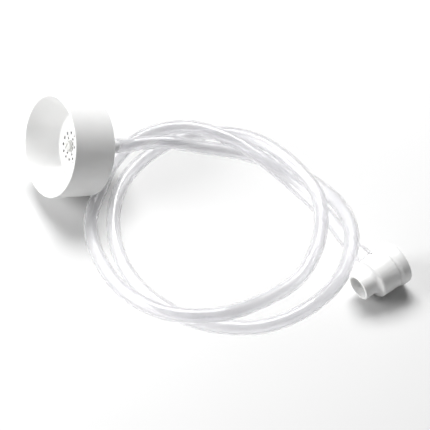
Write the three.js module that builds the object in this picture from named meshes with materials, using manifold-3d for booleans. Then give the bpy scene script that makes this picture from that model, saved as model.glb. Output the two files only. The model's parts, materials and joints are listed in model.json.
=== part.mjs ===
// Drain cup set: a white drain cup with a screwed-in strainer, a clear hose laid in two loose loops, and a
// stepped pipe connector that the hose enters from the side.
// Millimetres, +Z up. The origin is on the floor, under the middle of the cup and its outlet fittings.
import * as THREE from "three";
import { mergeVertices } from "three/addons/utils/BufferGeometryUtils.js";
import Module from "manifold-3d";

const wasm = await Module();
wasm.setup();

const GAP = 0.3; // clearance between pieces that touch
const FULL_TURN = 2 * Math.PI;
const ROUND = 64; // segments around a large round piece
const SMALL_ROUND = 32; // segments around a small round piece

// Where the cup lies: it rests on its back rim with its mouth tipped up.
const CUP_MOUTH_CENTRE = new THREE.Vector3(-14.6, -7.6, 53.53);
const CUP_HEADING = THREE.MathUtils.degToRad(28); // outlet direction, turned from +X towards +Y
const CUP_DIP = THREE.MathUtils.degToRad(26); // how far the outlet points below level

// Where the connector lies: on its collar and body, with its spigot a little lower.
const SPIGOT_MOUTH_CENTRE = new THREE.Vector3(231.45, -122.45, 15.5);
const CONNECTOR_HEADING = THREE.MathUtils.degToRad(35.5);
const CONNECTOR_RISE = THREE.MathUtils.degToRad(3.9);

// Cup. Heights along its axis are counted from the mouth towards the outlet.
const CUP_DEPTH = 37;
const CUP_MOUTH_R = 42.2;
const CUP_BACK_R = 41.5;
const CUP_WALL = 2;
const RIM_ROUND = 0.4;
const FLOOR_FRONT = 26;
const FLOOR_R = 29;
const FLOOR_ROUND = 0.8; // rounding where the floor meets the sloping side
const FLOOR_THICKNESS = 2;
const FLOOR_BACK = FLOOR_FRONT + FLOOR_THICKNESS;
const BOWL_LEAVES_SKIRT = 8.5; // behind this place the bowl and the outer skirt are two walls

// Outlet thread, G 3/4.
const THREAD_R = 13.2;
const THREAD_BORE_R = THREAD_R + GAP;
const OUTLET_BORE_R = 10.3;
const OUTLET_FLANGE_R = 17.5;
const OUTLET_FLANGE_THICKNESS = 1.5;
const FLANGE_SEAL_THICKNESS = 1.2;
const FLANGE_BACK = FLOOR_FRONT - FLANGE_SEAL_THICKNESS - 2 * GAP;
const FLANGE_FRONT = FLANGE_BACK - OUTLET_FLANGE_THICKNESS;
const OUTLET_LENGTH = 44.5; // rear end of the thread, from the mouth
const HUB_FRONT = 29;
const HUB_BACK = 34;
const HUB_R = 4.6;
const SPOKE_WIDTH = 1.8;

// Strainer and its screw.
const STRAINER_TOP = 19.6;
const STRAINER_TOP_R = 14;
const STRAINER_RIM_R = 16.8;
const STRAINER_SHEET = 1.3;
const STRAINER_HEIGHT = 2.8;
const OUTER_HOLES = { count: 12, ringR: 11.1, holeR: 1.3 };
const INNER_HOLES = { count: 6, ringR: 7.1, holeR: 1.1 };
const SCREW_R = 2;
const SCREW_TIP = 33.4;
const SCREW_HEAD_R = 4.2;
const SCREW_HEAD_HEIGHT = 2.2;
const SLOT_LENGTH = 5.4;
const SLOT_WIDTH = 1.1;
const SLOT_DEPTH = 1.3;
const SCREW_WASHER_R = 5;
const SCREW_WASHER_THICKNESS = 0.9;
const INSERT_R = 2.9;

// Back nut, with the seal and the washer in front of it.
const BACK_SEAL_R = 18.5;
const BACK_SEAL_THICKNESS = 1.5;
const BACK_WASHER_R = 18.8;
const BACK_WASHER_THICKNESS = 0.8;
const BACK_NUT_THICKNESS = 4.5;
const BACK_NUT_CORNER_R = 20;
const BACK_NUT_FACE_R = 18.6; // outer edge of the round face inside the bevelled corners
const BACK_NUT_BEVEL = 0.8;

// Hose, and the barbed tails that it is pushed onto.
const HOSE_R = 6;
const HOSE_SIDES = 10;
const HOSE_STEPS = 76;
const BARBS = 2;
const BARB_R = 4.9;
const BARB_ROOT_R = 4.1;
const BARB_LENGTH = 10;
const BARB_LEAD = 3; // plain length in front of the first barb
const BARB_PITCH = 3.3;
const BARB_EDGE = 0.1;
const TAIL_TIP_BEVEL = 0.3;
const TAIL_BORE_R = 3;
const TAIL_SEAL_BORE_R = 8.5;
const TAIL_SEAL_THICKNESS = 1.2;
const TAIL_FLANGE_THICKNESS = 1.5;
const TAIL_NECK_R = 5.8;
const TAIL_NECK_END = 56;
const IN_NUT_R = THREAD_R - 0.2; // outer edge of the flat rings that sit inside the union nut

// Union nut that holds the hose tail on the outlet, with its slip washer.
const UNION_NUT_FRONT = 37.7;
const UNION_NUT_R = 16;
const UNION_NUT_LIP = 2;
const UNION_NUT_RIBS = 14;
const UNION_NUT_RIB = { outerR: 16.9, depth: 2.6, width: 2.4, frontInset: 1.2, backInset: 1.6 };
const SLIP_WASHER_BORE_R = 6.8;
const SLIP_WASHER_THICKNESS = 0.8;

// Connector. Lengths along its axis are counted from the spigot's mouth.
const SPIGOT_R = 10.7;
const SPIGOT_BORE_R = 8.9;
const SPIGOT_LENGTH = 8.4;
const FLARE_LENGTH = 4.8;
const BODY_R = 16.3;
const BODY_EDGE_R = 15.5; // inner edge of the chamfer around the body's front
const BODY_FRONT = SPIGOT_LENGTH + FLARE_LENGTH;
const CHAMFER_LENGTH = 1.2;
const BODY_END = 30;
const SPIGOT_BORE_END = 13.5;
const CHAMBER = { front: 16.5, back: 28.6, radius: 14 };
const PIPE_STOP = { front: 29.4, back: 30.6, radius: 12.6 };
const SOCKET_BORE_R = 13.5;
const SOCKET_OUTER_R = 15;
const SOCKET_END = 36;
const SNAP_BEAD = { rise: 33.4, front: 33.8, back: 34.4, fall: 35.2, radius: 15.3 };
const COLLAR_R = 17.7;
const COLLAR_BORE_R = SOCKET_OUTER_R + 0.6;
const COLLAR_LIP_R = SOCKET_BORE_R - 0.3;
const COLLAR_LIP = 1.6;
const COLLAR_END = 40.6;
const SEAL_LIP_R = 11.6;
const SEAL_LIP_THICKNESS = 0.9;
const INLET_PLACE = 24;
const INLET_DIP = THREE.MathUtils.degToRad(6);
const INLET_BOSS_R = 5.7;
const INLET_BOSS_END = 17;
const VENT_PLACE = 9.9;
const VENT_R = 0.9;
const VENT_RISE = THREE.MathUtils.degToRad(52);

// The hose's centre line, from the cup's hose tail to the connector's, laid on the floor by hand. It crosses
// over itself in low humps.
const HOSE_ROUTE = [
  [38.2, 20.5, 24.4],
  [47.9, 25.2, 20],
  [58.3, 29.2, 18.5],
  [78, 31, 18.1],
  [108, 31, 11.6],
  [143, 28, 6.6],
  [178, 13.5, 6.4],
  [209, -14, 9.6],
  [226, -51, 20.3],
  [228.3, -87, 25.8],
  [217, -117, 19.5],
  [190, -139.5, 9.6],
  [150, -153.5, 6.3],
  [97, -144, 6.3],
  [55, -107, 6.3],
  [37, -54, 6.3],
  [44, -2, 6.3],
  [76, 37.5, 6.3],
  [114, 50.5, 8.4],
  [153, 37.5, 15.4],
  [184, 6.5, 19.4],
  [205.3, -33, 19.6],
  [204, -72, 12.9],
  [188, -105, 7.8],
  [159, -130.5, 10.8],
  [123, -149.5, 18],
  [85, -149, 19.2],
  [52, -127, 14.6],
  [28, -88, 8],
  [18, -50, 6.3],
  [23.8, -14, 6.3],
  [36, 22, 7.4],
  [61, 43.8, 13.7],
  [96, 47.5, 19.5],
  [134, 32.5, 19.6],
  [161, 13, 15.4],
  [187, -9.5, 7.8],
  [212, -41, 7],
  [227.3, -74.8, 12.6],
  [235.2, -86.2, 14.2],
];

const COLOURS = {
  whitePlastic: { color: 0xf4f4f2, roughness: 0.35, metalness: 0 },
  softWhite: { color: 0xe9e9e6, roughness: 0.5, metalness: 0 },
  blackRubber: { color: 0x26272a, roughness: 0.8, metalness: 0 },
  clearHose: { color: 0xe6ecef, roughness: 0.15, metalness: 0 },
  brass: { color: 0xb8944a, roughness: 0.35, metalness: 1 },
};

// ---------------------------------------------------------------------------------------------- helpers

// A profile of [place along the axis, radius] points turned about +Z.
function revolve(profile, segments = ROUND) {
  const points = profile.map(([along, radius]) => new THREE.Vector2(radius, along));
  const touchesAxis = points[0].x === 0 && points.at(-1).x === 0;
  if (THREE.ShapeUtils.area(points) < 0) points.reverse();
  if (!touchesAxis) points.push(points[0].clone());
  const geometry = new THREE.LatheGeometry(points, segments);
  return geometry.rotateX(Math.PI / 2);
}

// A flat ring between two places on the axis.
function ring(from, to, innerR, outerR, segments = ROUND) {
  const profile = [[from, innerR], [from, outerR], [to, outerR], [to, innerR]];
  return revolve(profile, segments);
}

// A cylinder along +Z between two places.
function rod(from, to, radius, segments = SMALL_ROUND) {
  const geometry = new THREE.CylinderGeometry(radius, radius, to - from, segments);
  return geometry.rotateX(Math.PI / 2).translate(0, 0, (from + to) / 2);
}

function toSolid(geometry) {
  const bare = geometry.clone();
  bare.deleteAttribute("normal");
  bare.deleteAttribute("uv");
  const merged = mergeVertices(bare, 1e-4);
  const vertProperties = new Float32Array(merged.attributes.position.array);
  const triVerts = new Uint32Array(merged.index.array);
  return new wasm.Manifold(new wasm.Mesh({ numProp: 3, vertProperties, triVerts }));
}

function toGeometry(solid) {
  const mesh = solid.getMesh();
  const geometry = new THREE.BufferGeometry();
  geometry.setAttribute("position", new THREE.BufferAttribute(new Float32Array(mesh.vertProperties), 3));
  geometry.setIndex(new THREE.BufferAttribute(new Uint32Array(mesh.triVerts), 1));
  geometry.computeVertexNormals();
  return geometry;
}

const join = (geometries) => geometries.map(toSolid).reduce((a, b) => a.add(b));

const cut = (solid, geometries) => geometries.map(toSolid).reduce((a, b) => a.subtract(b), solid);

function piece(name, geometry, look) {
  const mesh = new THREE.Mesh(geometry, new THREE.MeshStandardMaterial(COLOURS[look]));
  mesh.name = name;
  return mesh;
}

// Angles of count equal steps round the axis.
const around = (count) => Array.from({ length: count }, (_, i) => (i / count) * FULL_TURN);

// ---------------------------------------------------------------------------------------------- cup side

function cupShell() {
  const outletHoleR = THREAD_BORE_R + GAP;
  const rimInnerR = CUP_MOUTH_R - CUP_WALL + RIM_ROUND;
  return revolve([
    [0, CUP_MOUTH_R - RIM_ROUND],
    [RIM_ROUND, CUP_MOUTH_R],
    [CUP_DEPTH, CUP_BACK_R],
    [CUP_DEPTH, CUP_BACK_R - CUP_WALL],
    [BOWL_LEAVES_SKIRT, CUP_MOUTH_R - CUP_WALL],
    [FLOOR_BACK, FLOOR_R + CUP_WALL],
    [FLOOR_BACK, outletHoleR],
    [FLOOR_FRONT, outletHoleR],
    [FLOOR_FRONT, FLOOR_R - FLOOR_ROUND],
    [FLOOR_FRONT - FLOOR_ROUND, FLOOR_R],
    [3 * RIM_ROUND, rimInnerR - RIM_ROUND],
    [0, rimInnerR],
  ]);
}

// The ring of the waste outlet: a flange inside the cup, a threaded tube through the floor, and a hub on four
// spokes that takes the strainer's screw.
function outletBody() {
  const funnel = 1; // bevel that leads water from the flange into the bore
  const flangeRound = 0.4;
  const threadBevel = 0.6;
  const tube = revolve([
    [FLANGE_FRONT, OUTLET_BORE_R + funnel],
    [FLANGE_FRONT, OUTLET_FLANGE_R - flangeRound],
    [FLANGE_FRONT + flangeRound, OUTLET_FLANGE_R],
    [FLANGE_BACK, OUTLET_FLANGE_R],
    [FLANGE_BACK, THREAD_R],
    [OUTLET_LENGTH - threadBevel, THREAD_R],
    [OUTLET_LENGTH, THREAD_R - threadBevel],
    [OUTLET_LENGTH, OUTLET_BORE_R],
    [FLANGE_FRONT + funnel, OUTLET_BORE_R],
  ]);
  const spokeLength = OUTLET_BORE_R + THREAD_R - CUP_WALL; // its ends are buried in the tube's wall
  const spokes = [0, Math.PI / 2].map((angle) => {
    const spoke = new THREE.BoxGeometry(spokeLength, SPOKE_WIDTH, HUB_BACK - HUB_FRONT);
    return spoke.rotateZ(angle).translate(0, 0, (HUB_FRONT + HUB_BACK) / 2);
  });
  const body = join([tube, rod(HUB_FRONT, HUB_BACK, HUB_R), ...spokes]);
  return toGeometry(cut(body, [rod(HUB_FRONT - 1, HUB_BACK + 1, INSERT_R + GAP)]));
}

function strainer() {
  const crownRound = 0.8;
  const sideSlope = 0.4;
  const brimFront = STRAINER_TOP + STRAINER_HEIGHT - 1;
  const brimBack = STRAINER_TOP + STRAINER_HEIGHT;
  const sheet = revolve([
    [STRAINER_TOP, 0],
    [STRAINER_TOP, STRAINER_TOP_R - crownRound],
    [STRAINER_TOP + crownRound, STRAINER_TOP_R],
    [brimFront, STRAINER_TOP_R + sideSlope],
    [brimFront, STRAINER_RIM_R - GAP],
    [brimFront + GAP, STRAINER_RIM_R],
    [brimBack, STRAINER_RIM_R],
    [brimBack, STRAINER_TOP_R + sideSlope - STRAINER_SHEET],
    [STRAINER_TOP + STRAINER_SHEET, STRAINER_TOP_R - STRAINER_SHEET],
    [STRAINER_TOP + STRAINER_SHEET, 0],
  ]);
  const holes = [OUTER_HOLES, INNER_HOLES].flatMap(({ count, ringR, holeR }) =>
    around(count).map((angle) => {
      const hole = rod(STRAINER_TOP - 1, STRAINER_TOP + STRAINER_SHEET + 1, holeR, 14);
      return hole.translate(ringR * Math.cos(angle), ringR * Math.sin(angle), 0);
    }),
  );
  const screwHole = rod(STRAINER_TOP - 1, STRAINER_TOP + STRAINER_SHEET + 1, SCREW_R + GAP, 20);
  return toGeometry(cut(toSolid(sheet), [...holes, screwHole]));
}

function strainerScrew() {
  const headBack = STRAINER_TOP - SCREW_WASHER_THICKNESS - 2 * GAP;
  const headFront = headBack - SCREW_HEAD_HEIGHT;
  const tipBevel = 0.8;
  const crown = [0, 1, 2, 3].map((step) => {
    const angle = (step / 4) * (Math.PI / 2);
    const along = headFront + (SCREW_HEAD_HEIGHT / 2) * (1 - Math.sin(angle));
    return [along, SCREW_HEAD_R * Math.cos(angle)];
  });
  const screw = revolve(
    [
      [headFront, 0],
      ...crown.reverse(),
      [headBack, SCREW_HEAD_R],
      [headBack, SCREW_R],
      [SCREW_TIP - tipBevel, SCREW_R],
      [SCREW_TIP, SCREW_R - tipBevel],
      [SCREW_TIP, 0],
    ],
    SMALL_ROUND,
  );
  const slot = new THREE.BoxGeometry(SLOT_LENGTH, SLOT_WIDTH, 2 * SLOT_DEPTH).translate(0, 0, headFront);
  return toGeometry(cut(toSolid(screw), [slot]));
}

function backNut(front) {
  const back = front + BACK_NUT_THICKNESS;
  const hexagon = new THREE.CylinderGeometry(BACK_NUT_CORNER_R, BACK_NUT_CORNER_R, BACK_NUT_THICKNESS, 6);
  hexagon.rotateX(Math.PI / 2).translate(0, 0, (front + back) / 2);
  const bevelled = revolve([
    [front, 0],
    [front, BACK_NUT_FACE_R],
    [front + BACK_NUT_BEVEL, BACK_NUT_CORNER_R],
    [back - BACK_NUT_BEVEL, BACK_NUT_CORNER_R],
    [back, BACK_NUT_FACE_R],
    [back, 0],
  ]);
  const nut = toSolid(hexagon).intersect(toSolid(bevelled));
  return toGeometry(cut(nut, [rod(front - 1, back + 1, THREAD_BORE_R, ROUND)]));
}

function unionNut(lipFront) {
  const lipBack = lipFront + UNION_NUT_LIP;
  const holeR = TAIL_NECK_R + 2 * GAP;
  const frontRound = 0.4;
  const backRound = 1;
  const shell = revolve([
    [UNION_NUT_FRONT, THREAD_BORE_R],
    [UNION_NUT_FRONT, UNION_NUT_R - frontRound],
    [UNION_NUT_FRONT + frontRound, UNION_NUT_R],
    [lipBack - backRound, UNION_NUT_R],
    [lipBack, UNION_NUT_R - backRound],
    [lipBack, holeR],
    [lipFront, holeR],
    [lipFront, THREAD_BORE_R],
  ]);
  const { outerR, depth, width, frontInset, backInset } = UNION_NUT_RIB;
  const ribFront = UNION_NUT_FRONT + frontInset;
  const ribBack = lipBack - backInset;
  const ribs = around(UNION_NUT_RIBS).map((angle) => {
    const rib = new THREE.BoxGeometry(depth, width, ribBack - ribFront);
    return rib.translate(outerR - depth / 2, 0, (ribFront + ribBack) / 2).rotateZ(angle);
  });
  return toGeometry(join([shell, ...ribs]));
}

// The profile of a barbed hose tail from its shoulder to its tip.
function barbProfile(shoulder) {
  const tip = shoulder + BARB_LENGTH;
  const barbs = Array.from({ length: BARBS }, (_, i) => shoulder + BARB_LEAD + i * BARB_PITCH);
  return [
    [shoulder, BARB_ROOT_R],
    ...barbs.flatMap((start) => [
      [start, BARB_ROOT_R],
      [start + BARB_EDGE, BARB_R],
    ]),
    [tip - TAIL_TIP_BEVEL, BARB_ROOT_R],
    [tip, BARB_ROOT_R - TAIL_TIP_BEVEL],
  ];
}

function hoseTail(flangeFront) {
  const flangeBack = flangeFront + TAIL_FLANGE_THICKNESS;
  return revolve(
    [
      [flangeFront, TAIL_BORE_R],
      [flangeFront, IN_NUT_R],
      [flangeBack, IN_NUT_R],
      [flangeBack, TAIL_NECK_R],
      [TAIL_NECK_END, TAIL_NECK_R],
      ...barbProfile(TAIL_NECK_END),
      [TAIL_NECK_END + BARB_LENGTH, TAIL_BORE_R],
    ],
    SMALL_ROUND,
  );
}

function cupSide() {
  const group = new THREE.Group();
  group.position.copy(CUP_MOUTH_CENTRE);
  group.rotation.set(0, Math.PI / 2 + CUP_DIP, CUP_HEADING, "ZYX");

  // Each piece stands a gap behind the one in front of it.
  const screwWasherBack = STRAINER_TOP - GAP;
  const screwWasherFront = screwWasherBack - SCREW_WASHER_THICKNESS;
  const flangeSealFront = FLANGE_BACK + GAP;
  const flangeSealBack = flangeSealFront + FLANGE_SEAL_THICKNESS;
  const backSealFront = FLOOR_BACK + GAP;
  const backSealBack = backSealFront + BACK_SEAL_THICKNESS;
  const backWasherFront = backSealBack + GAP;
  const backWasherBack = backWasherFront + BACK_WASHER_THICKNESS;
  const tailSealFront = OUTLET_LENGTH + GAP;
  const tailSealBack = tailSealFront + TAIL_SEAL_THICKNESS;
  const tailFlangeFront = tailSealBack + GAP;
  const slipWasherFront = tailFlangeFront + TAIL_FLANGE_THICKNESS + GAP;
  const slipWasherBack = slipWasherFront + SLIP_WASHER_THICKNESS;

  const screwHoleR = SCREW_R + GAP;
  const screwWasher = ring(screwWasherFront, screwWasherBack, screwHoleR, SCREW_WASHER_R, SMALL_ROUND);
  const insert = ring(HUB_FRONT + GAP, HUB_BACK - GAP, screwHoleR, INSERT_R, SMALL_ROUND);
  const flangeSeal = ring(flangeSealFront, flangeSealBack, THREAD_BORE_R, OUTLET_FLANGE_R - 0.5);
  const backSeal = ring(backSealFront, backSealBack, THREAD_BORE_R, BACK_SEAL_R);
  const backWasher = ring(backWasherFront, backWasherBack, THREAD_BORE_R, BACK_WASHER_R);
  const tailSeal = ring(tailSealFront, tailSealBack, TAIL_SEAL_BORE_R, IN_NUT_R);
  const slipWasher = ring(slipWasherFront, slipWasherBack, SLIP_WASHER_BORE_R, IN_NUT_R);

  group.add(
    piece("cup_shell", cupShell(), "whitePlastic"),
    piece("strainer", strainer(), "whitePlastic"),
    piece("strainer_screw", strainerScrew(), "softWhite"),
    piece("screw_washer", screwWasher, "softWhite"),
    piece("screw_insert", insert, "brass"),
    piece("flange_seal", flangeSeal, "blackRubber"),
    piece("outlet_body", outletBody(), "whitePlastic"),
    piece("back_seal", backSeal, "blackRubber"),
    piece("back_washer", backWasher, "softWhite"),
    piece("back_nut", backNut(backWasherBack + GAP), "whitePlastic"),
    piece("tail_seal", tailSeal, "blackRubber"),
    piece("hose_tail", hoseTail(tailFlangeFront), "whitePlastic"),
    piece("slip_washer", slipWasher, "softWhite"),
    piece("union_nut", unionNut(slipWasherBack + GAP), "whitePlastic"),
  );
  return group;
}

// ---------------------------------------------------------------------------------------------- connector

// A quarter of a hollow curve from the spigot out to the body's front edge.
function flareProfile() {
  const steps = 6;
  return Array.from({ length: steps }, (_, i) => {
    const angle = ((i + 1) / steps) * (Math.PI / 2);
    const along = SPIGOT_LENGTH + FLARE_LENGTH * Math.sin(angle);
    return [along, SPIGOT_R + (BODY_EDGE_R - SPIGOT_R) * (1 - Math.cos(angle))];
  });
}

// Turns a geometry made along +Z so that it points out of the connector's side.
const towardsInlet = (geometry) =>
  geometry.rotateX(-Math.PI / 2).rotateZ(-INLET_DIP).translate(0, 0, INLET_PLACE);

function connectorBody() {
  const spigotRound = 0.4;
  const outside = revolve([
    [0, 0],
    [0, SPIGOT_R - spigotRound],
    [spigotRound, SPIGOT_R],
    [SPIGOT_LENGTH, SPIGOT_R],
    ...flareProfile(),
    [BODY_FRONT + CHAMFER_LENGTH, BODY_R],
    [BODY_END, BODY_R],
    [BODY_END, SOCKET_OUTER_R],
    [SNAP_BEAD.rise, SOCKET_OUTER_R],
    [SNAP_BEAD.front, SNAP_BEAD.radius],
    [SNAP_BEAD.back, SNAP_BEAD.radius],
    [SNAP_BEAD.fall, SOCKET_OUTER_R],
    [SOCKET_END, SOCKET_OUTER_R],
    [SOCKET_END, 0],
  ]);
  const inside = revolve([
    [-1, 0],
    [-1, SPIGOT_BORE_R],
    [SPIGOT_BORE_END, SPIGOT_BORE_R],
    [CHAMBER.front, CHAMBER.radius],
    [CHAMBER.back, CHAMBER.radius],
    [PIPE_STOP.front, PIPE_STOP.radius],
    [PIPE_STOP.back, PIPE_STOP.radius],
    [PIPE_STOP.back, SOCKET_BORE_R],
    [SOCKET_END + 1, SOCKET_BORE_R],
    [SOCKET_END + 1, 0],
  ]);
  const bossRoot = BODY_R - 3; // the boss starts inside the body's wall
  const inlet = revolve(
    [
      [bossRoot, 0],
      [bossRoot, INLET_BOSS_R],
      [INLET_BOSS_END, INLET_BOSS_R],
      ...barbProfile(INLET_BOSS_END),
      [INLET_BOSS_END + BARB_LENGTH, 0],
    ],
    SMALL_ROUND,
  );
  const inletBore = rod(bossRoot - 3, INLET_BOSS_END + BARB_LENGTH + 1, TAIL_BORE_R);
  const vent = rod(SPIGOT_BORE_R - 3, BODY_R + 2, VENT_R);
  vent.rotateX(-Math.PI / 2).rotateZ(VENT_RISE).translate(0, 0, VENT_PLACE);
  const body = join([outside, towardsInlet(inlet)]);
  return toGeometry(cut(body, [inside, towardsInlet(inletBore), vent]));
}

// A collar whose outside swells smoothly from the body to a round-edged band.
function socketCollar() {
  const front = BODY_END + GAP;
  const swell = 3.3; // length of the smooth rise
  const edge = 2.2; // radius of the band's rear edge
  const steps = 5;
  const rise = Array.from({ length: steps + 1 }, (_, i) => {
    const share = i / steps;
    return [front + share * swell, BODY_R + (COLLAR_R - BODY_R) * (1 - Math.cos(Math.PI * share)) / 2];
  });
  const roundEdge = Array.from({ length: steps + 1 }, (_, i) => {
    const angle = (i / steps) * (Math.PI / 2);
    return [COLLAR_END - edge * (1 - Math.sin(angle)), COLLAR_R - edge * (1 - Math.cos(angle))];
  });
  return revolve([
    [front, COLLAR_BORE_R],
    ...rise,
    ...roundEdge,
    [COLLAR_END, COLLAR_LIP_R],
    [COLLAR_END - COLLAR_LIP, COLLAR_LIP_R],
    [COLLAR_END - COLLAR_LIP, COLLAR_BORE_R],
  ]);
}

// A lip seal: its lip leans into the socket.
function socketSeal() {
  const front = SOCKET_END + GAP;
  const back = COLLAR_END - COLLAR_LIP - GAP;
  const outerR = COLLAR_BORE_R - GAP;
  return revolve([
    [front, SEAL_LIP_R],
    [front + SEAL_LIP_THICKNESS / 2, outerR],
    [back, outerR],
    [back, COLLAR_LIP_R],
    [front + SEAL_LIP_THICKNESS, SEAL_LIP_R],
  ]);
}

function connectorSide() {
  const group = new THREE.Group();
  group.position.copy(SPIGOT_MOUTH_CENTRE);
  group.rotation.set(0, Math.PI / 2 - CONNECTOR_RISE, CONNECTOR_HEADING, "ZYX");
  group.add(
    piece("connector_body", connectorBody(), "whitePlastic"),
    piece("socket_seal", socketSeal(), "blackRubber"),
    piece("socket_collar", socketCollar(), "whitePlastic"),
  );
  return group;
}

// ---------------------------------------------------------------------------------------------- hose

function hose() {
  const section = new THREE.Shape();
  section.absarc(0, 0, HOSE_R, 0, FULL_TURN, false);
  const points = HOSE_ROUTE.map((point) => new THREE.Vector3(...point));
  const extrudePath = new THREE.CatmullRomCurve3(points, false, "centripetal");
  extrudePath.arcLengthDivisions = 2000;
  const options = { steps: HOSE_STEPS, curveSegments: HOSE_SIDES / 2, extrudePath };
  return new THREE.ExtrudeGeometry(section, options);
}

const drainCupSet = new THREE.Group();
drainCupSet.add(cupSide(), connectorSide(), piece("hose", hose(), "clearHose"));

export default drainCupSet;
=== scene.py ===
"""A white drain cup with a strainer, a clear hose in two loose loops, and a stepped pipe connector.

Metres, +Z up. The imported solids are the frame: their axes come from the record's joints and mounts.
"""
import json
import math

import bpy
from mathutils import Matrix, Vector


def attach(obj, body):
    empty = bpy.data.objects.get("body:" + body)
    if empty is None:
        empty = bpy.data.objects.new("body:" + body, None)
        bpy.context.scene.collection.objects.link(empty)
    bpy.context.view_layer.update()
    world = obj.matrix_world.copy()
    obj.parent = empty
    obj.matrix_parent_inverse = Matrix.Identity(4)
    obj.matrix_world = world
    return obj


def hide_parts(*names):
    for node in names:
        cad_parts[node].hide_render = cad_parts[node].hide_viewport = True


MM = 0.001
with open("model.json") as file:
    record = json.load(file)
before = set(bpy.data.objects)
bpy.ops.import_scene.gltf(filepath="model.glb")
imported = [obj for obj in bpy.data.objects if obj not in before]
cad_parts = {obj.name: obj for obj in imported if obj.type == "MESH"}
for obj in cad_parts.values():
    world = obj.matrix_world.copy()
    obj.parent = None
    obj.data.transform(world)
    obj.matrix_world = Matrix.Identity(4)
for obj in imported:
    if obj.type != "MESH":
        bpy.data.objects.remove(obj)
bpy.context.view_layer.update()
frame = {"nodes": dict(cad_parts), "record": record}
record = frame["record"]


# ------------------------------------------------------------------------------------------ where things are

joints = {joint["name"]: joint for joint in record["behaviour"]["joints"]}
mounts = {mount["name"]: mount for mount in record["mounts"]}
body_of_node = {node: body for body, nodes in record["behaviour"]["bodies"].items() for node in nodes}


class Axis:
    """A straight axis with places counted along it in millimetres, and a side direction to turn from."""

    def __init__(self, start, along, side):
        self.start = Vector(start)
        self.along = Vector(along).normalized()
        self.side = (Vector(side) - Vector(side).dot(self.along) * self.along).normalized()
        self.third = self.along.cross(self.side)

    def place(self, along, radius=0.0, turn=0.0):
        """The point at a place along the axis, out from it by a radius, turned from the side direction."""
        out = math.cos(turn) * self.side + math.sin(turn) * self.third
        return self.start + MM * (along * self.along + radius * out)


DOWN = Vector((0, 0, -1))
NUT_JOINT_PLACE = 30  # where the back nut's joint stands on the cup's axis, from the mouth
SPIGOT_MOUNT_RADIUS = 9.8  # how far above the connector's axis its end face is marked
INLET_PLACE = 24  # place of the inlet on the connector's axis
INLET_DIP = math.radians(6)
HOSE_START = 56.3  # place on the cup's axis where the hose ends against the tail's shoulder
HOSE_END = 17.4  # place on the inlet's axis where the hose ends against the boss

nut_joint = joints["back_nut_turn"]
outlet_direction = Vector(nut_joint["axis"]).normalized()
cup_mouth = Vector(nut_joint["pos_m"]) - NUT_JOINT_PLACE * MM * outlet_direction
cup = Axis(cup_mouth, outlet_direction, DOWN)

spigot_direction = -Vector(mounts["spigot_end"]["axis"]).normalized()
connector_down = Axis((0, 0, 0), spigot_direction, DOWN).side
spigot_mouth = Vector(mounts["spigot_end"]["pos_m"]) + SPIGOT_MOUNT_RADIUS * MM * connector_down
connector = Axis(spigot_mouth, spigot_direction, DOWN)

level_side = Vector((0, 0, 1)).cross(spigot_direction).normalized()
inlet_direction = math.cos(INLET_DIP) * level_side + math.sin(INLET_DIP) * connector.side
inlet = Axis(connector.place(INLET_PLACE), inlet_direction, DOWN)


# ------------------------------------------------------------------------------------------ camera and hose

CAMERA_AIM = Vector((0.12035, -0.03565, 0))
CAMERA_DISTANCE = 1.0
CAMERA_ELEVATION = math.radians(50)
CAMERA_LENS = 100.5
SENSOR_WIDTH = 36


def make_camera():
    data = bpy.data.cameras.new("camera")
    data.lens = CAMERA_LENS
    data.sensor_width = SENSOR_WIDTH
    data.clip_start = 0.01
    camera = bpy.data.objects.new("camera", data)
    back = Vector((0, -math.cos(CAMERA_ELEVATION), math.sin(CAMERA_ELEVATION)))
    camera.location = CAMERA_AIM + CAMERA_DISTANCE * back
    camera.rotation_euler = (math.pi / 2 - CAMERA_ELEVATION, 0, 0)
    bpy.context.scene.collection.objects.link(camera)
    bpy.context.scene.camera = camera


make_camera()

HOSE_RADIUS = 6.0
HOSE_BORE = 4.5
PUSHED_ON = 10.0  # length of hose stretched over each tail
STRETCH = 0.45  # how much wider the hose is where it is stretched
EASE = 5  # length over which the stretched hose narrows again
STRAIGHT = 5  # length of the straight run at each end
BARB_PITCH = 3.3
BARB_RIPPLE = 0.06  # how far the barbs show through the hose
HOSE_SIDES = 64
HOSE_STEPS = 16  # rings of vertices from one route point to the next
HOSE_CORNER = math.radians(50)  # the cut ends stay sharp past this angle

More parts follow.
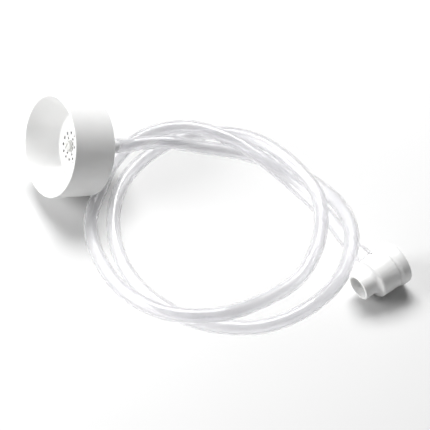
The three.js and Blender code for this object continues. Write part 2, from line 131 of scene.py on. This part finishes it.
# The hose's centre line between the two tails, in metres.
HOSE_ROUTE = [
    (0.0382, 0.0205, 0.0244),
    (0.0479, 0.0252, 0.02),
    (0.0583, 0.0292, 0.0185),
    (0.078, 0.031, 0.0181),
    (0.108, 0.031, 0.0116),
    (0.143, 0.028, 0.0066),
    (0.178, 0.0135, 0.0064),
    (0.209, -0.014, 0.0096),
    (0.226, -0.051, 0.0203),
    (0.2283, -0.087, 0.0258),
    (0.217, -0.117, 0.0195),
    (0.19, -0.1395, 0.0096),
    (0.15, -0.1535, 0.0063),
    (0.097, -0.144, 0.0063),
    (0.055, -0.107, 0.0063),
    (0.037, -0.054, 0.0063),
    (0.044, -0.002, 0.0063),
    (0.076, 0.0375, 0.0063),
    (0.114, 0.0505, 0.0084),
    (0.153, 0.0375, 0.0154),
    (0.184, 0.0065, 0.0194),
    (0.2053, -0.033, 0.0196),
    (0.204, -0.072, 0.0129),
    (0.188, -0.105, 0.0078),
    (0.159, -0.1305, 0.0108),
    (0.123, -0.1495, 0.018),
    (0.085, -0.149, 0.0192),
    (0.052, -0.127, 0.0146),
    (0.028, -0.088, 0.008),
    (0.018, -0.05, 0.0063),
    (0.0238, -0.014, 0.0063),
    (0.036, 0.022, 0.0074),
    (0.061, 0.0438, 0.0137),
    (0.096, 0.0475, 0.0195),
    (0.134, 0.0325, 0.0196),
    (0.161, 0.013, 0.0154),
    (0.187, -0.0095, 0.0078),
    (0.212, -0.041, 0.007),
    (0.2273, -0.0748, 0.0126),
    (0.2352, -0.0862, 0.0142),
]


def centripetal(points, steps):
    """A smooth curve through the points, which doesn't overshoot where they are unevenly spaced."""
    points = [2 * points[0] - points[1], *points, 2 * points[-1] - points[-2]]
    curve = []
    for before, start, end, after in zip(points, points[1:], points[2:], points[3:]):
        gaps = [(b - a).length ** 0.5 for a, b in ((before, start), (start, end), (end, after))]
        leave = (start - before) / gaps[0] - (end - before) / (gaps[0] + gaps[1]) + (end - start) / gaps[1]
        arrive = (end - start) / gaps[1] - (after - start) / (gaps[1] + gaps[2]) + (after - end) / gaps[2]
        leave *= gaps[1]
        arrive *= gaps[1]
        for step in range(steps):
            t = step / steps
            bend = 3 * (end - start) - 2 * leave - arrive
            twist = 2 * (start - end) + leave + arrive
            curve.append(start + t * leave + t * t * bend + t * t * t * twist)
    return curve + [points[-2]]


def link_mesh(name, verts, faces):
    mesh = bpy.data.meshes.new(name)
    mesh.from_pydata([tuple(v) for v in verts], [], faces)
    mesh.update()
    mesh.shade_smooth()
    piece = bpy.data.objects.new(name, mesh)
    bpy.context.scene.collection.objects.link(piece)
    return piece


def hose_frames(line):
    """The line's points with a side direction for each, carried along without twist."""
    side = Vector((0, 0, 1)).cross(line[1] - line[0]).normalized()
    frames = []
    for i, point in enumerate(line):
        along = (line[min(i + 1, len(line) - 1)] - line[max(i - 1, 0)]).normalized()
        side = (side - side.dot(along) * along).normalized()
        frames.append((point, side, along.cross(side)))
    return frames


def make_hose():
    """A hollow hose, stretched where it is pushed over the barbed tails."""
    route = [Vector(point) for point in HOSE_ROUTE]
    first = [cup.place(HOSE_START), cup.place(HOSE_START + STRAIGHT)]
    last = [inlet.place(HOSE_END + STRAIGHT), inlet.place(HOSE_END)]
    line = centripetal([*first, *route, *last], HOSE_STEPS)
    reach = [0.0]
    for a, b in zip(line, line[1:]):
        reach.append(reach[-1] + (b - a).length / MM)
    rings = []
    for (point, side, up), at in zip(hose_frames(line), reach):
        from_end = min(at, reach[-1] - at)
        ease = min(max((PUSHED_ON + EASE - from_end) / EASE, 0), 1)
        ripple = BARB_RIPPLE * math.cos(2 * math.pi * from_end / BARB_PITCH) if from_end < PUSHED_ON else 0
        wider = STRETCH * ease * ease * (3 - 2 * ease) + ripple
        rings.append((point, side, up, wider))
    verts = []
    for radius in (HOSE_RADIUS, HOSE_BORE):
        for point, side, up, wider in rings:
            for k in range(HOSE_SIDES):
                turn = 2 * math.pi * k / HOSE_SIDES
                out = math.cos(turn) * side + math.sin(turn) * up
                verts.append(point + MM * (radius + wider) * out)
    count = len(rings)
    faces = []
    for layer in (0, 1):
        base = layer * count * HOSE_SIDES
        for i in range(count - 1):
            for k in range(HOSE_SIDES):
                a = base + i * HOSE_SIDES + k
                b = base + i * HOSE_SIDES + (k + 1) % HOSE_SIDES
                face = (a, b, b + HOSE_SIDES, a + HOSE_SIDES)
                faces.append(face if layer == 0 else face[::-1])
    inner = count * HOSE_SIDES
    end = (count - 1) * HOSE_SIDES
    for k in range(HOSE_SIDES):
        after = (k + 1) % HOSE_SIDES
        faces.append((after, k, inner + k, inner + after))
        faces.append((end + k, end + after, inner + end + after, inner + end + k))
    piece = link_mesh("clear_hose", verts, faces)
    piece.data.set_sharp_from_angle(angle=HOSE_CORNER)
    along_map = piece.data.uv_layers.new(name="along")
    for loop in piece.data.loops:
        ring, k = divmod(loop.vertex_index % inner, HOSE_SIDES)
        along_map.data[loop.index].uv = (k / HOSE_SIDES, reach[ring] * MM)
    # Clear hose shades the floor very little. Without the second line, the floor under it is lit twice.
    piece.visible_shadow = False
    piece.visible_diffuse = False
    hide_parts("hose")
    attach(piece, "cup")
    return piece


# ------------------------------------------------------------------------------------------ materials


class Material:
    """A node material with a few short ways to build it."""

    def __init__(self, name):
        self.material = bpy.data.materials.new(name)
        self.material.use_nodes = True
        self.tree = self.material.node_tree
        self.shader = self.tree.nodes["Principled BSDF"]
        self.where = self.tree.nodes.new("ShaderNodeTexCoord").outputs["Object"]

    def node(self, kind, **settings):
        node = self.tree.nodes.new(kind)
        for key, value in settings.items():
            setattr(node, key, value)
        return node

    def link(self, source, target):
        self.tree.links.new(source, target)

    def set(self, **values):
        """Sets constants on the shader's own sockets, with _ in their names for a space."""
        for key, value in values.items():
            self.shader.inputs[key.replace("_", " ")].default_value = value

    def noise(self, scale, detail=3.0, where=None):
        node = self.node("ShaderNodeTexNoise")
        node.inputs["Scale"].default_value = scale
        node.inputs["Detail"].default_value = detail
        self.link(where or self.where, node.inputs["Vector"])
        return node.outputs["Fac"]

    def ramp(self, source, low, high, start, end):
        """A colour or grey that goes from start to end as the source goes from low to high."""
        node = self.node("ShaderNodeValToRGB")
        node.color_ramp.elements[0].position = low
        node.color_ramp.elements[1].position = high
        node.color_ramp.elements[0].color = start
        node.color_ramp.elements[1].color = end
        self.link(source, node.inputs["Fac"])
        return node.outputs["Color"]

    def edge(self, low, high):
        """White on outer edges, where a piece is rubbed, and black elsewhere."""
        pointed = self.node("ShaderNodeNewGeometry").outputs["Pointiness"]
        return self.ramp(pointed, low, high, grey(0), grey(1))

    def rub(self, colour, low, high, bare):
        """The colour, changed to the bare one on outer edges."""
        node = self.node("ShaderNodeMix", data_type="RGBA")
        node.inputs["B"].default_value = bare
        self.link(self.edge(low, high), node.inputs["Factor"])
        self.link(colour, node.inputs["A"])
        return node.outputs["Result"]

    def bump(self, source, strength, depth, under=None):
        node = self.node("ShaderNodeBump")
        node.inputs["Strength"].default_value = strength
        node.inputs["Distance"].default_value = depth
        self.link(source, node.inputs["Height"])
        if under is not None:
            self.link(under, node.inputs["Normal"])
        return node.outputs["Normal"]


def grey(value):
    return (value, value, value, 1)


def moulded_plastic(name, light, dark, roughness, gloss, grain):
    """Moulded plastic: faint cloudy colour with specks of dust, a fine grain, and slightly rubbed edges."""
    m = Material(name)
    clouds = m.noise(45, 4)
    specks = m.noise(2600, 2)
    tone = m.ramp(clouds, 0.3, 0.75, dark, light)
    dust = m.ramp(specks, 0.66, 0.74, grey(1), (0.9, 0.89, 0.87, 1))
    dusty = m.node("ShaderNodeMix", data_type="RGBA", blend_type="MULTIPLY")
    dusty.inputs["Factor"].default_value = 0.35
    m.link(tone, dusty.inputs["A"])
    m.link(dust, dusty.inputs["B"])
    m.link(m.rub(dusty.outputs["Result"], 0.52, 0.6, light), m.shader.inputs["Base Color"])
    worn = m.ramp(m.noise(70, 5), 0.3, 0.7, grey(roughness), grey(roughness + 0.1))
    m.link(worn, m.shader.inputs["Roughness"])
    fine = m.bump(m.noise(grain, 2), 0.12, 0.00005)
    m.link(m.bump(m.noise(28, 2), 0.1, 0.0006, fine), m.shader.inputs["Normal"])
    m.set(Coat_Weight=gloss, Coat_Roughness=0.12, IOR=1.49)
    m.set(Subsurface_Weight=0.12, Subsurface_Radius=(1, 0.95, 0.9), Subsurface_Scale=0.0012)
    return m.material


def clear_pvc():
    """Clear flexible PVC: a little milky, with fine lines drawn along it and a faint haze of dust."""
    m = Material("clear_pvc")
    coords = m.node("ShaderNodeUVMap", uv_map="along").outputs["UV"]
    stretched = m.node("ShaderNodeMapping")
    stretched.inputs["Scale"].default_value = (40, 1.5, 1)
    m.link(coords, stretched.inputs["Vector"])
    lines = m.noise(1, 3, stretched.outputs["Vector"])
    waves = m.noise(60, 2)
    clouds = m.ramp(m.noise(35, 3), 0.3, 0.75, (0.825, 0.825, 0.84, 1), (0.89, 0.89, 0.9, 1))
    m.link(clouds, m.shader.inputs["Base Color"])
    m.link(m.ramp(m.noise(90, 3), 0.35, 0.8, grey(0.12), grey(0.24)), m.shader.inputs["Roughness"])
    drawn = m.bump(lines, 0.03, 0.00001)
    m.link(m.bump(waves, 0.01, 0.00005, drawn), m.shader.inputs["Normal"])
    m.set(Transmission_Weight=0.8, IOR=1.33)
    return m.material


def rubber():
    """Black rubber: uneven dark tone and a fine matt grain."""
    m = Material("black_rubber")
    tone = m.ramp(m.noise(120, 4), 0.3, 0.8, (0.018, 0.018, 0.02, 1), (0.05, 0.05, 0.052, 1))
    m.link(tone, m.shader.inputs["Base Color"])
    m.link(m.ramp(m.noise(500, 3), 0.3, 0.7, grey(0.55), grey(0.8)), m.shader.inputs["Roughness"])
    m.link(m.bump(m.noise(1500, 3), 0.3, 0.00008), m.shader.inputs["Normal"])
    return m.material


def metal(name, light, dark, roughness):
    """Turned metal: fine rings of tool marks, uneven tone, and brighter edges."""
    m = Material(name)
    marks = m.node("ShaderNodeTexWave", wave_type="RINGS", rings_direction="SPHERICAL")
    marks.inputs["Scale"].default_value = 900
    marks.inputs["Distortion"].default_value = 2
    m.link(m.where, marks.inputs["Vector"])
    tone = m.ramp(m.noise(300), 0.3, 0.7, dark, light)
    m.link(m.rub(tone, 0.48, 0.56, light), m.shader.inputs["Base Color"])
    worn = m.ramp(m.noise(400, 4), 0.3, 0.7, grey(roughness), grey(roughness + 0.18))
    m.link(worn, m.shader.inputs["Roughness"])
    m.link(m.bump(marks.outputs["Fac"], 0.12, 0.00004), m.shader.inputs["Normal"])
    m.set(Metallic=1.0)
    return m.material


WHITE = moulded_plastic(
    "white_plastic",
    light=(0.9, 0.9, 0.895, 1),
    dark=(0.86, 0.86, 0.855, 1),
    roughness=0.3,
    gloss=0.35,
    grain=900,
)
SOFT_WHITE = moulded_plastic(
    "soft_white_plastic",
    light=(0.78, 0.78, 0.76, 1),
    dark=(0.7, 0.7, 0.68, 1),
    roughness=0.5,
    gloss=0,
    grain=1500,
)
CLEAR = clear_pvc()
RUBBER = rubber()
BRASS = metal("turned_brass", light=(0.76, 0.58, 0.28, 1), dark=(0.5, 0.36, 0.16, 1), roughness=0.28)


def paint(piece, material):
    if piece.data.materials:
        piece.data.materials[0] = material
    else:
        piece.data.materials.append(material)


# ------------------------------------------------------------------------------------------ pieces

WELD_DISTANCE = 0.01 * MM


def soften(piece, width, angle=30):
    """Rounds the edges sharper than an angle, as a mould does, and shades the round faces smooth."""
    weld = piece.modifiers.new("weld", "WELD")
    weld.merge_threshold = WELD_DISTANCE
    piece.data.shade_smooth()
    bevel = piece.modifiers.new("bevel", "BEVEL")
    bevel.width = width * MM
    bevel.segments = 2
    bevel.limit_method = "ANGLE"
    bevel.angle_limit = math.radians(angle)
    bevel.harden_normals = True


def lathe(name, axis, profile, segments):
    """A closed profile of (place, radius), turned about an axis."""
    verts = []
    for k in range(segments):
        turn = 2 * math.pi * k / segments
        verts += [axis.place(along, radius, turn) for along, radius in profile]
    size = len(profile)
    area = sum(a[0] * b[1] - b[0] * a[1] for a, b in zip(profile, profile[1:] + profile[:1]))
    faces = []
    for k in range(segments):
        here = k * size
        there = (k + 1) % segments * size
        for i in range(size):
            after = (i + 1) % size
            face = (here + i, there + i, there + after, here + after)
            faces.append(face if area > 0 else face[::-1])
    return link_mesh(name, verts, faces)


CUP_SIDES = 192
CUP_DEPTH = 37
CUP_RADIUS = 42.2
CUP_BACK_RADIUS = 41.5
CUP_BACK_OPENING = 39.5  # radius inside the back rim
CUP_BACK_EDGE = 0.3  # rounding of the back rim
FLOOR_FRONT = 26
FLOOR_BACK = 28
OUTLET_HOLE_RADIUS = 13.8


def make_cup():
    """The cup: a rounded rim, a sloping inside, a flat floor with the outlet's hole, and an open back."""
    outside = [
        (0, CUP_RADIUS - 0.9),
        (0.1, CUP_RADIUS - 0.3),
        (0.4, CUP_RADIUS),
        (18, 41.86),
        (CUP_DEPTH - CUP_BACK_EDGE, CUP_BACK_RADIUS),
    ]
    back_rim = [
        (CUP_DEPTH, CUP_BACK_RADIUS - CUP_BACK_EDGE),
        (CUP_DEPTH, CUP_BACK_OPENING + CUP_BACK_EDGE),
        (CUP_DEPTH - CUP_BACK_EDGE, CUP_BACK_OPENING),
    ]
    underside = [(8.5, 40.2), (FLOOR_BACK, 31), (FLOOR_BACK, OUTLET_HOLE_RADIUS)]
    floor = [(FLOOR_FRONT, OUTLET_HOLE_RADIUS), (FLOOR_FRONT, 27.6), (25.9, 28.2), (25.5, 28.8), (25, 29.2)]
    mouth = [(1.2, 40.2), (0.5, 40.5), (0.1, 40.8)]
    piece = lathe("cup", cup, outside + back_rim + underside + floor + mouth, CUP_SIDES)
    soften(piece, width=0.15, angle=20)
    paint(piece, WHITE)
    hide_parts("cup_shell")
    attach(piece, body_of_node["cup_shell"])


hose = make_hose()
paint(hose, CLEAR)
make_cup()

# A material and a width of rounding in millimetres for each of the record's material slots.
LOOKS = {
    "white_plastic": (WHITE, 0.25),
    "soft_white": (SOFT_WHITE, 0.12),
    "black_rubber": (RUBBER, 0.12),
    "brass": (BRASS, 0.1),
}
replaced = ("hose", "cup_shell")
for subpart in record["subparts"]:
    if subpart["node"] not in replaced:
        node = frame["nodes"][subpart["node"]]
        look, rounding = LOOKS[subpart["material_slot"]]
        paint(node, look)
        soften(node, rounding)


# ------------------------------------------------------------------------------------------ floor and light


def make_floor():
    half = 3.0
    corners = [(-half, -half, 0), (half, -half, 0), (half, half, 0), (-half, half, 0)]
    floor = link_mesh("floor", corners, [(0, 1, 2, 3)])
    m = Material("floor")
    m.link(m.ramp(m.noise(3, 2), 0.3, 0.7, grey(0.72), grey(0.74)), m.shader.inputs["Base Color"])
    m.link(m.ramp(m.noise(20, 2), 0.3, 0.7, grey(0.85), grey(0.9)), m.shader.inputs["Roughness"])
    paint(floor, m.material)


def make_light(name, position, aim, size, power):
    data = bpy.data.lights.new(name, "AREA")
    data.shape = "RECTANGLE"
    data.size = size[0]
    data.size_y = size[1]
    data.energy = power
    light = bpy.data.objects.new(name, data)
    light.location = position
    light.rotation_euler = (Vector(aim) - Vector(position)).to_track_quat("-Z", "Y").to_euler()
    bpy.context.scene.collection.objects.link(light)


def make_world():
    """A pale room: dim near the ground, brighter overhead."""
    world = bpy.data.worlds.new("world")
    world.use_nodes = True
    nodes = world.node_tree.nodes
    links = world.node_tree.links
    where = nodes.new("ShaderNodeTexCoord")
    split = nodes.new("ShaderNodeSeparateXYZ")
    rise = nodes.new("ShaderNodeValToRGB")
    rise.color_ramp.elements[0].position = 0.1
    rise.color_ramp.elements[0].color = grey(0.02)
    rise.color_ramp.elements[1].position = 0.8
    rise.color_ramp.elements[1].color = grey(0.15)
    links.new(where.outputs["Generated"], split.inputs["Vector"])
    links.new(split.outputs["Z"], rise.inputs["Fac"])
    links.new(rise.outputs["Color"], nodes["Background"].inputs["Color"])
    bpy.context.scene.world = world


make_floor()
make_world()
make_light("overhead", position=(0, 0.8, 1.4), aim=(0.12, -0.06, 0), size=(1.1, 0.8), power=34)
make_light("left", position=(-0.96, -0.25, 0.6), aim=(0.05, -0.03, 0.03), size=(0.6, 0.5), power=11)
bpy.context.scene.view_settings.view_transform = "Standard"
